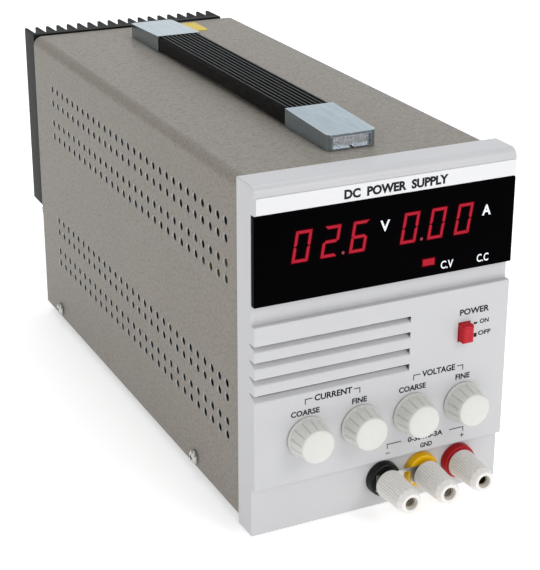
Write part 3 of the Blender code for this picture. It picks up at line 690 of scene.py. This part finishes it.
def make_readings():
    """The lit figures, their soft glow in the filter, the CV lamp and the window's white marks."""
    pitch = 0.0133
    readings = {"voltage": (-0.0457, "026", 1), "current": (0.0053, "000", 0)}
    for name, (left, figures, point_after) in readings.items():
        lit, halo = bmesh.new(), bmesh.new()
        for index, figure in enumerate(figures):
            digit(halo, figure, left + pitch * index, 1.7 * STROKE, FACE)
            digit(lit, figure, left + pitch * index, STROKE, FACE - INK)
        attach(build(name + "_figures", lit, LIT), "red_lamp")
        attach(build(name + "_glow", halo, HALO), "red_lamp")
        point = bmesh.new()
        dot(point, left + pitch * point_after + 0.0106, DIGIT_LOW + 0.0008, 0.00070, FACE)
        attach(build(name + "_point", point, POINT), "red_lamp")
    lamp, halo = bmesh.new(), bmesh.new()
    line_mark(lamp, 0.0170, BASE + 0.1142, 0.0228, BASE + 0.1172, FACE - INK)
    line_mark(halo, 0.0164, BASE + 0.1136, 0.0234, BASE + 0.1178)
    attach(build("cv_lamp_light", lamp, LIT), "red_lamp")
    attach(build("cv_lamp_glow", halo, HALO), "red_lamp")
    marks = bmesh.new()
    lettering(marks, "V", -0.0044, BASE + 0.1332, 0.0046, 0.0050, bold=0.02)
    lettering(marks, "A", 0.0459, BASE + 0.1328, 0.0045, 0.0048, bold=0.03)
    lettering(marks, "C.V", 0.0261, BASE + 0.1113, 0.0063, 0.0037, bold=0.02)
    lettering(marks, "C.C", 0.0444, BASE + 0.1114, 0.0060, 0.0037, bold=0.02)
    attach(build("window_marks", marks, WHITE_INK), "printed_film")


def bracket(bm, left, right, gap_left, gap_right, z, drop):
    """A thin bracket with a gap for its words, and a short tick down at each end."""
    thin = 0.0004
    line_mark(bm, left, z, gap_left, z + thin)
    line_mark(bm, gap_right, z, right, z + thin)
    line_mark(bm, left, z - drop, left + thin, z)
    line_mark(bm, right - thin, z - drop, right, z)


def make_legends():
    """The panel's generic captions, brackets and signs, each placed by its height above the base."""
    bm = bmesh.new()
    lettering(bm, "POWER", 0.0372, BASE + 0.0872, 0.0152, 0.0030)
    lettering(bm, "ON", 0.0478, BASE + 0.0817, 0.0047, 0.0022)
    lettering(bm, "OFF", 0.0472, BASE + 0.0760, 0.0066, 0.0022)
    line_mark(bm, 0.0446, BASE + 0.0819, 0.0465, BASE + 0.0828)
    line_mark(bm, 0.0444, BASE + 0.0756, 0.0465, BASE + 0.0775)
    lettering(bm, "CURRENT", -0.0342, BASE + 0.0612, 0.0182, 0.0030)
    lettering(bm, "VOLTAGE", 0.0190, BASE + 0.0614, 0.0170, 0.0030)
    lettering(bm, "COARSE", -0.0454, BASE + 0.0554, 0.0137, 0.0027)
    lettering(bm, "FINE", -0.0159, BASE + 0.0556, 0.0073, 0.0027)
    lettering(bm, "COARSE", 0.0074, BASE + 0.0558, 0.0137, 0.0027)
    lettering(bm, "FINE", 0.0365, BASE + 0.0562, 0.0074, 0.0027)
    bracket(bm, -0.0388, -0.0120, -0.0352, -0.0150, BASE + 0.0627, 0.0022)
    bracket(bm, 0.0145, 0.0403, 0.0181, 0.0370, BASE + 0.0629, 0.0022)
    lettering(bm, "0-30V/0-3A", 0.0129, BASE + 0.0303, 0.0181, 0.0026)
    bracket(bm, 0.0022, 0.0420, 0.0095, 0.0345, BASE + 0.0316, 0.0020)
    lettering(bm, "GND", 0.0194, BASE + 0.0261, 0.0063, 0.0024)
    line_mark(bm, 0.0017, BASE + 0.0272, 0.0038, BASE + 0.0276)
    line_mark(bm, 0.0404, BASE + 0.0275, 0.0424, BASE + 0.0279)
    line_mark(bm, 0.0412, BASE + 0.0267, 0.0416, BASE + 0.0287)
    attach(build("panel_legends", bm, DARK_INK), "panel_plastic")
    title = bmesh.new()
    low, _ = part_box("name_strip")
    lettering(title, "DC  POWER  SUPPLY", -0.0220, BASE + 0.1503, 0.0497, 0.0042, low.y + 0.0001,
              bold=0.045)
    attach(build("strip_title", title, DARK_INK), "printed_film")


def make_knobs():
    """Tapered knobs with narrow flutes and a low domed face."""
    flutes, steps = 14, 252

    def grooved(depth):
        return lambda turn: 1 - depth * max(0.0, math.cos(flutes * turn)) ** 8

    for name in KNOBS:
        low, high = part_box("knob_" + name)
        centre = (low + high) / 2
        tail, front = high.y, low.y
        length = tail - front
        rings = [(0.0090, 0.0, 0), (0.0096, 0.0002, 0), (0.0096, 0.0009, 0), (0.0095, 0.0011, 0)]
        rings += [(0.00935, 0.0012, 0), (0.00930, 0.0015, 0.6), (0.0092, 0.0020, 1), (0.0087, 0.0050, 1)]
        rings += [(0.0082, 0.0080, 1), (0.0080, 0.0091, 0.8), (0.00785, 0.0096, 0.2)]
        rings += [(r, out) for out, r in arc((0.0096, 0.0069), (0.0011, 0.0009), 90, 15, 5)]
        face = rings[-1][0]
        level = rings[-1][1]
        for step in range(1, 8):
            radius = face * (1 - step / 8)
            rings.append((radius, level + (length - level) * (1 - (radius / face) ** 2)))
        bm = bmesh.new()
        skin(bm, [ring_points(centre, Y, tail - ring[1], ring[0], steps, grooved(0.07 * sum(ring[2:])))
                  for ring in rings])
        knob = build("dial_" + name, bm, IVORY, 50)
        attach(knob, "knob_plastic", "knob_" + name, body="knob_" + name)


def make_button():
    """The push button, its face edged and slightly dished, and its stem."""
    low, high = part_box("power_button")
    half = ((high.x - low.x) / 2, (high.z - low.z) / 2)
    stem_low = BACK - 0.0040
    bm = bmesh.new()
    rings = []
    steps = [(0.0, stem_low), (0.0, low.y + 0.0011), (0.0003, low.y + 0.0005)]
    steps += [(0.0009, low.y + 0.0001), (0.0013, low.y), (0.0019, low.y + 0.00025)]
    for inset, y in steps:
        reach = (half[0] - inset, half[1] - inset)
        outline = rounded_rectangle((BUTTON.x, BUTTON.z), reach, 0.0006)
        rings.append([(x, y, z) for x, z in outline])
    skin(bm, rings)
    block(bm, (BUTTON.x - 0.0016, stem_low - 0.0005, BUTTON.z - 0.0016),
          (BUTTON.x + 0.0016, high.y, BUTTON.z + 0.0016))
    attach(build("push_button", bm, RED), "red_plastic", "power_button", body="power_button")


# ---- Terminals -------------------------------------------------------------------------------------------
def faceted(turn, sides=10):
    """Radius of a regular polygon as a share of its circle."""
    part = 2 * math.pi / sides
    return math.cos(part / 2) / math.cos(turn % part - part / 2)


def make_post_caps():
    """Ribbed caps with a ten-sided nose, and the metal ring in each mouth."""
    ribs, per_rib = 34, 8

    def ribbed(depth):
        return lambda turn: 1 - depth * (0.5 + 0.5 * math.cos(ribs * turn))

    for name in POSTS:
        node = "post_cap_" + name
        low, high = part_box(node)
        centre = (low + high) / 2
        front, tail = low.y, high.y
        steps = ribs * per_rib
        mouth, bore = 0.0030, 0.0042
        parts = [(bore, tail, None), (0.0061, tail, None), (0.0065, tail - 0.0002, None)]
        parts += [(0.0067, tail - 0.0006, ribbed(0.02)), (0.0068, tail - 0.0009, ribbed(0.06))]
        parts += [(0.0064, tail - 0.0060, ribbed(0.07)), (0.0060, tail - 0.0120, ribbed(0.07))]
        parts += [(0.0058, front + 0.0034, ribbed(0.07)), (0.0057, front + 0.0030, ribbed(0.02))]
        parts += [(0.0057, front + 0.0028, faceted), (0.0054, front + 0.0016, faceted)]
        parts += [(0.0050, front + 0.0004, faceted), (0.0048, front + 0.0001, faceted)]
        parts += [(0.0045, front, faceted), (mouth + 0.0003, front, None), (mouth, front + 0.0003, None)]
        parts += [(mouth, front + 0.0060, None), (bore, front + 0.0060, None)]
        bm = bmesh.new()
        skin(bm, [ring_points(centre, Y, y, radius, steps, shape) for radius, y, shape in parts], closed=True)
        cap = build("terminal_" + name, bm, POST_GREY, 40)
        attach(cap, "post_plastic", node, body="cap_" + name)
        inner, outer = 0.0021, mouth - 0.00005
        near, far = front + 0.0026, front + 0.0032
        profile = [(inner, near), (outer, near), (outer, far), (inner, far)]
        ring = turned("socket_ring_" + name, centre, Y, profile, NICKEL, steps=48, closed=True)
        attach(ring, "brass", body="cap_" + name)


def make_collars():
    """The coloured insulating collars behind the caps."""
    for name in POSTS:
        node = "post_collar_" + name
        low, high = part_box(node)
        neck, front = 0.0030, low.y
        profile = [(neck, front), (0.0072, front)]
        profile += [(r, y) for r, y in arc((0.0072, front + 0.0007), (0.0007, 0.0007), 270, 360, 5)]
        profile += [(0.0082, SEAT - GAP), (0.0042, SEAT - GAP), (0.0042, high.y), (neck, high.y)]
        collar = turned("collar_" + name, middle(node), Y, profile, COLLARS[name], closed=True)
        attach(collar, ("black_collar", "yellow_collar", "red_collar")[POSTS.index(name)], node)


def make_link():
    """A thin stamped strip between the two left posts, its free end bent forward."""
    low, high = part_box("ground_link")
    thick = 0.0006
    top, bottom = high.z, low.z
    back = high.y
    path = [(low.x, back), (high.x - 0.0020, back), (high.x - 0.0012, back - 0.0001)]
    path += [(high.x - 0.0006, back - 0.0003), (high.x, back - 0.0007)]
    near = [(x, y - thick) for x, y in path]
    outline = path + near[::-1]
    strip = extruded("shorting_link", outline, Z, bottom, top, PLATED)
    holes = []
    for name in ("negative", "ground"):
        hole = [(0.0031, back - 0.003), (0.0031, back + 0.002)]
        holes.append(turned("hole_" + name, middle("post_stud_" + name), Y, hole, steps=32))
    first, level = middle("post_stud_negative").x, (top + bottom) / 2
    below, deep = bottom - 0.001, level + 0.0026
    notch = [(0.0076, below), (0.0128, below), (0.0122, deep), (0.0088, deep)]
    notch = [(first + across, z) for across, z in notch]
    holes.append(extruded("notch", notch, Y, back - 0.004, back + 0.002))
    carve(strip, *holes)
    even_normals(strip)
    attach(strip, "plated_steel", "ground_link")


# ---- Handle ----------------------------------------------------------------------------------------------
def make_handle_cap(end, inward):
    """A plated end cap: sloping top, rounded far corners and a sunk end panel inside a lip."""
    node = "handle_cap_" + end
    low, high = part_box(node)
    far = low.y if inward > 0 else high.y
    length = high.y - low.y
    half, corner = high.x, 0.0025
    height = high.z - low.z
    far_height = height - 0.0015
    outline = arc((half - corner, corner), (corner, corner), 0, -90, 6)
    outline += arc((corner - half, corner), (corner, corner), -90, -180, 6)
    outline += [(-half, length), (half, length)]
    bm = bmesh.new()
    rings = []
    for share in (0, 1):
        ring = []
        for x, depth in outline:
            rise = far_height + (height - far_height) * depth / length
            ring.append((x, far + inward * depth, low.z + share * rise))
        rings.append(ring)
    skin(bm, rings)
    cap = build("end_cap_" + end, bm, CHROME)
    lip, sunk = 0.0011, 0.0016
    near_y, far_y = sorted((far - inward * 0.002, far + inward * sunk))
    panel = box_object("end_panel", (corner - half + 0.0002, near_y, low.z + 0.0006),
                       (half - corner - 0.0002, far_y, low.z + far_height - lip))
    notch_profile = [(0.0010, near_y), (0.0010, far_y + inward * 0.0004)]
    notch = turned("notch", Vector((0, far, low.z)), Y, notch_profile, steps=20)
    mouth = sorted((far + inward * 0.003, far + inward * (length + 0.002)))
    hollow = box_object("hollow", (0.002 - half, mouth[0], low.z - 0.001),
                        (half - 0.002, mouth[1], low.z + 0.0058))
    carve(cap, panel, notch, hollow)
    cap.data.materials.append(SATIN)
    for face in cap.data.polygons:
        if abs(face.center.y - (far + inward * sunk)) < 0.0001 and abs(face.normal.y) > 0.9:
            face.material_index = 1
    soften(cap, 0.0006, 3, 50)
    attach(cap, "chrome_cap", node)


def make_grip():
    """The moulded grip: soft flanks and nine raised ribs along its top, a little arched."""
    low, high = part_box("handle_grip")
    half, base, top = high.x, low.z, high.z
    ribs, rib_height = 9, 0.0011
    pitch = 2 * (half - 0.0006) / ribs
    outline = [(-half + 0.0006, base), (half - 0.0006, base), (half, base + 0.0006)]
    shoulder = top - rib_height
    outline += [(half, shoulder - 0.0004), (half - 0.0003, shoulder)]
    for rib in range(ribs):
        right = half - 0.0006 - pitch * rib
        outline += [(right - 0.10 * pitch, shoulder), (right - 0.20 * pitch, shoulder + 0.8 * rib_height)]
        outline += [(right - 0.32 * pitch, top), (right - 0.62 * pitch, top)]
        outline += [(right - 0.74 * pitch, shoulder + 0.8 * rib_height), (right - 0.84 * pitch, shoulder)]
    outline += [(0.0003 - half, shoulder), (-half, shoulder - 0.0004), (-half, base + 0.0006)]
    bm = bmesh.new()
    rings = []
    steps = 24
    for step in range(steps + 1):
        share = step / steps
        y = low.y + (high.y - low.y) * share
        lift = 0.0011 * math.sin(math.pi * share)  # the underside is arched, the top stays level
        rings.append([(x, y, z + lift * (1 - (z - base) / (top - base))) for x, z in outline])
    skin(bm, rings)
    grip = build("ribbed_grip", bm, RUBBER, 28)
    low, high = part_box("handle_strap")
    slot = box_object("strap_slot", (low.x - GAP, BACK, low.z - GAP),
                      (high.x + GAP, COVER_HIGH.y, high.z + GAP))
    carve(grip, slot)
    even_normals(grip, 28)
    attach(grip, "grip_rubber", "handle_grip", body="handle")


def make_sticker():
    """A blank paper sticker with softly rounded corners."""
    low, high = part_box("yellow_sticker")
    place = ((low.x + high.x) / 2, (low.y + high.y) / 2)
    half = ((high.x - low.x) / 2, (high.y - low.y) / 2)
    outline = rounded_rectangle(place, half, 0.0010)
    sticker = extruded("blank_sticker", outline, Z, COVER_HIGH.z, low.z + 0.0001, PAPER)
    attach(sticker, "yellow_paper", "yellow_sticker")


# ---- Rear ------------------------------------------------------------------------------------------------
def make_heat_sink():
    """The finned extrusion, its fins tapering to rounded tips."""
    low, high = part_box("heat_sink")
    fins, thick = 19, 0.0024
    pitch = (high.x - low.x - thick) / (fins - 1)
    root, tip = low.y + 0.004, high.y
    outline = [(low.x, low.y)]
    for fin in range(fins):
        left = low.x + pitch * fin
        right = left + thick
        taper, nose = 0.0003, 0.0009
        if fin:
            outline += fillet((left - 0.0006, root), (left, root), (left, root + 0.0006), 2)
        outline += fillet((left + taper, tip - nose), (left + taper, tip), (left + taper + nose, tip), 3)
        outline += fillet((right - taper - nose, tip), (right - taper, tip), (right - taper, tip - nose), 3)
        if fin < fins - 1:
            outline += fillet((right, root + 0.0006), (right, root), (right + 0.0006, root), 2)
    outline.append((high.x, low.y))
    sink = extruded("finned_heat_sink", outline, Z, low.z, high.z, ANODISED, 40)
    attach(soften(sink, 0.00025, 1, 70), "black_anodised", "heat_sink")


def make_inlet():
    """The mains inlet: flanged housing, chamfered socket and three flat pins."""
    low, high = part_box("iec_inlet")
    place = (low + high) / 2
    rear = high.y
    flange = rear - 0.0020
    centre = (place.x, place.z)
    half = ((high.x - low.x) / 2, (high.z - low.z) / 2)
    housing = rounded_rectangle(centre, (0.0137, 0.0099), 0.0015)
    body = extruded("inlet_housing", housing, Y, low.y, flange + 0.0002, BLACK)
    rim = extruded("inlet_rim", rounded_rectangle(centre, half, 0.0030), Y, flange, rear)
    join = body.modifiers.new("join", "BOOLEAN")
    join.operation = "UNION"
    join.object = rim
    settle(body)
    bpy.data.objects.remove(rim, do_unlink=True)
    x, z, wide, tall, cut = place.x, place.z, 0.0118, 0.0080, 0.0045
    socket = [(x - wide, z + tall), (x - wide, z - tall + cut), (x - wide + cut, z - tall)]
    socket += [(x + wide - cut, z - tall), (x + wide, z - tall + cut), (x + wide, z + tall)]
    carve(body, extruded("socket", socket, Y, rear - 0.017, rear + 0.002))
    soften(body, 0.0004, 2, 50)
    attach(body, "black_plastic", "iec_inlet")
    pins = bmesh.new()
    for across, up in ((-0.007, -0.002), (0.0, 0.003), (0.007, -0.002)):
        block(pins, (x + across - 0.0010, rear - 0.0172, z + up - 0.0020),
              (x + across + 0.0010, rear - 0.0062, z + up + 0.0020))
    attach(soften(build("inlet_pins", pins, NICKEL), 0.0004, 2), "brass")


def make_fuse():
    """The fuse holder's body and its fluted, slotted cap."""
    low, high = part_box("fuse_holder")
    place = (low + high) / 2
    rear = high.y
    profile = [(0.0042, rear - 0.026), (0.0060, rear - 0.026), (0.0060, rear - 0.0080)]
    profile += [(0.0066, rear - 0.0080), (0.0070, rear - 0.0076), (0.0070, rear - 0.0006)]
    profile += [(0.0066, rear), (0.0042, rear)]
    attach(turned("fuse_body", place, Y, profile, BLACK, closed=True), "black_plastic", "fuse_holder")
    low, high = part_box("fuse_cap")
    tail, tip = rear + GAP, high.y

    def fluted(turn):
        return 1 - 0.05 * max(0.0, math.cos(24 * turn))

    rings = [(0.0020, low.y, None), (0.0039, low.y, None), (0.0039, tail, None), (0.0062, tail, None)]
    rings += [(0.0066, tail + 0.0003, None), (0.0066, tail + 0.0006, fluted)]
    rings += [(0.0063, tip - 0.0008, fluted), (0.0060, tip - 0.0002, None)]
    rings += [(0.0050, tip, None), (0.0010, tip, None)]
    bm = bmesh.new()
    skin(bm, [ring_points(place, Y, y, radius, 96, shape) for radius, y, shape in rings])
    cap = build("fuse_knob", bm, BLACK, 40)
    slot = box_object("slot", (place.x - 0.0080, tip - 0.0012, place.z - 0.0006),
                      (place.x + 0.0080, tip + 0.003, place.z + 0.0006))
    carve(cap, slot)
    attach(even_normals(cap, 40), "black_plastic", "fuse_cap", body="fuse_cap")


# ---- Finishes of the CAD nodes that stay -----------------------------------------------------------------
def finish_nodes():
    """A procedural finish for each CAD solid that is shown as it is."""
    finishes = {"chassis": DARKENED_ZINC, "handle_strap": PLATED, "display_board": BOARD, "main_board": BOARD}
    finishes.update({"voltage_digits": MODULE, "current_digits": MODULE})
    finishes.update({"cv_led": LAMP_OFF, "cc_led": LAMP_OFF, "power_switch_body": BLACK})
    finishes.update({"power_transistor_1": BLACK, "power_transistor_2": BLACK})
    finishes.update({"transformer_core": CORE, "transformer_winding": TAPE, "filter_capacitor": SLEEVE})
    for name in KNOBS:
        finishes["pot_shaft_" + name] = PLATED
        finishes["pot_body_" + name] = SHELL
    for name in POSTS:
        finishes["post_stud_" + name] = NICKEL
        finishes["post_insert_" + name] = NICKEL
    for name, finish in finishes.items():
        materials = frame["nodes"][name].data.materials
        materials.clear()
        materials.append(finish)


# ---- Studio ----------------------------------------------------------------------------------------------
AZIMUTH, ELEVATION, ROLL = math.radians(-27.24), math.radians(21.46), math.radians(0.66)
LENS, SHIFT = 98.27, (-0.0702, -0.0439)
CAMERA_FROM_BEZEL = Vector((-0.3087, -0.5444, 0.3595))  # from the middle of the bezel's lower back edge


def make_camera():
    """The camera, at the angle and distance that fit the photograph."""
    data = bpy.data.cameras.new("camera")
    data.lens = LENS
    data.shift_x, data.shift_y = SHIFT
    camera = bpy.data.objects.new("camera", data)
    bpy.context.scene.collection.objects.link(camera)
    camera.location = Vector((0, BACK, BASE)) + CAMERA_FROM_BEZEL
    level = math.cos(ELEVATION)
    back = Vector((math.sin(AZIMUTH) * level, -math.cos(AZIMUTH) * level, math.sin(ELEVATION)))
    camera.rotation_mode = "QUATERNION"
    camera.rotation_quaternion = (-back).to_track_quat("-Z", "Y") @ Quaternion((0, 0, 1), ROLL)
    bpy.context.scene.camera = camera


def area_light(name, place, size, power, colour=(1, 1, 1)):
    """A square soft light that faces the object."""
    data = bpy.data.lights.new(name, "AREA")
    data.size = size
    data.energy = power
    data.color = colour
    light = bpy.data.objects.new(name, data)
    bpy.context.scene.collection.objects.link(light)
    light.location = place
    light.rotation_mode = "QUATERNION"
    light.rotation_quaternion = (Vector((0, 0, 0.08)) - Vector(place)).to_track_quat("-Z", "Y")


def make_studio():
    """A pale floor, an even surround and five soft lights."""
    size = 6.0
    bm = bmesh.new()
    block(bm, (-size, -size, CAD_BOX[0].z - 0.02), (size, size, CAD_BOX[0].z - 0.0001))
    pale = surface("pale_floor", (0.93, 0.93, 0.93), 0.8, patches=0.0, speckle=0.0, grain=0.0,
                   Specular_IOR_Level=0.0)
    shader = pale.node_tree.nodes["Principled BSDF"]
    shader.inputs["Emission Color"].default_value = (1.0, 1.0, 1.0, 1.0)
    shader.inputs["Emission Strength"].default_value = 0.45
    build("floor", bm, pale)
    world = bpy.data.worlds.new("studio")
    world.use_nodes = True
    background = world.node_tree.nodes["Background"]
    background.inputs["Color"].default_value = (0.97, 0.985, 1.0, 1.0)
    background.inputs["Strength"].default_value = 0.43
    bpy.context.scene.world = world
    area_light("key", (0.65, -1.40, 1.10), 0.8, 8.5, (1.0, 0.99, 0.97))
    area_light("fill", (0.05, -1.70, 0.22), 0.8, 5.0)
    area_light("left", (-1.50, -0.10, 0.95), 1.2, 3.8, (1.0, 0.98, 0.95))
    area_light("top", (0.2, 0.4, 1.6), 1.0, 10.0, (0.95, 0.97, 1.0))
    area_light("back", (0.70, 1.30, 0.65), 1.0, 2.0, (0.93, 0.97, 1.0))
    bpy.context.scene.view_settings.view_transform = "Standard"


make_cover()
make_cover_screws()
make_feet()
make_bezel()
make_window()
make_readings()
make_legends()
make_knobs()
make_button()
make_post_caps()
make_collars()
make_link()
make_handle_cap("front", 1)
make_handle_cap("rear", -1)
make_grip()
make_sticker()
make_heat_sink()
make_inlet()
make_fuse()
finish_nodes()
make_camera()
make_studio()
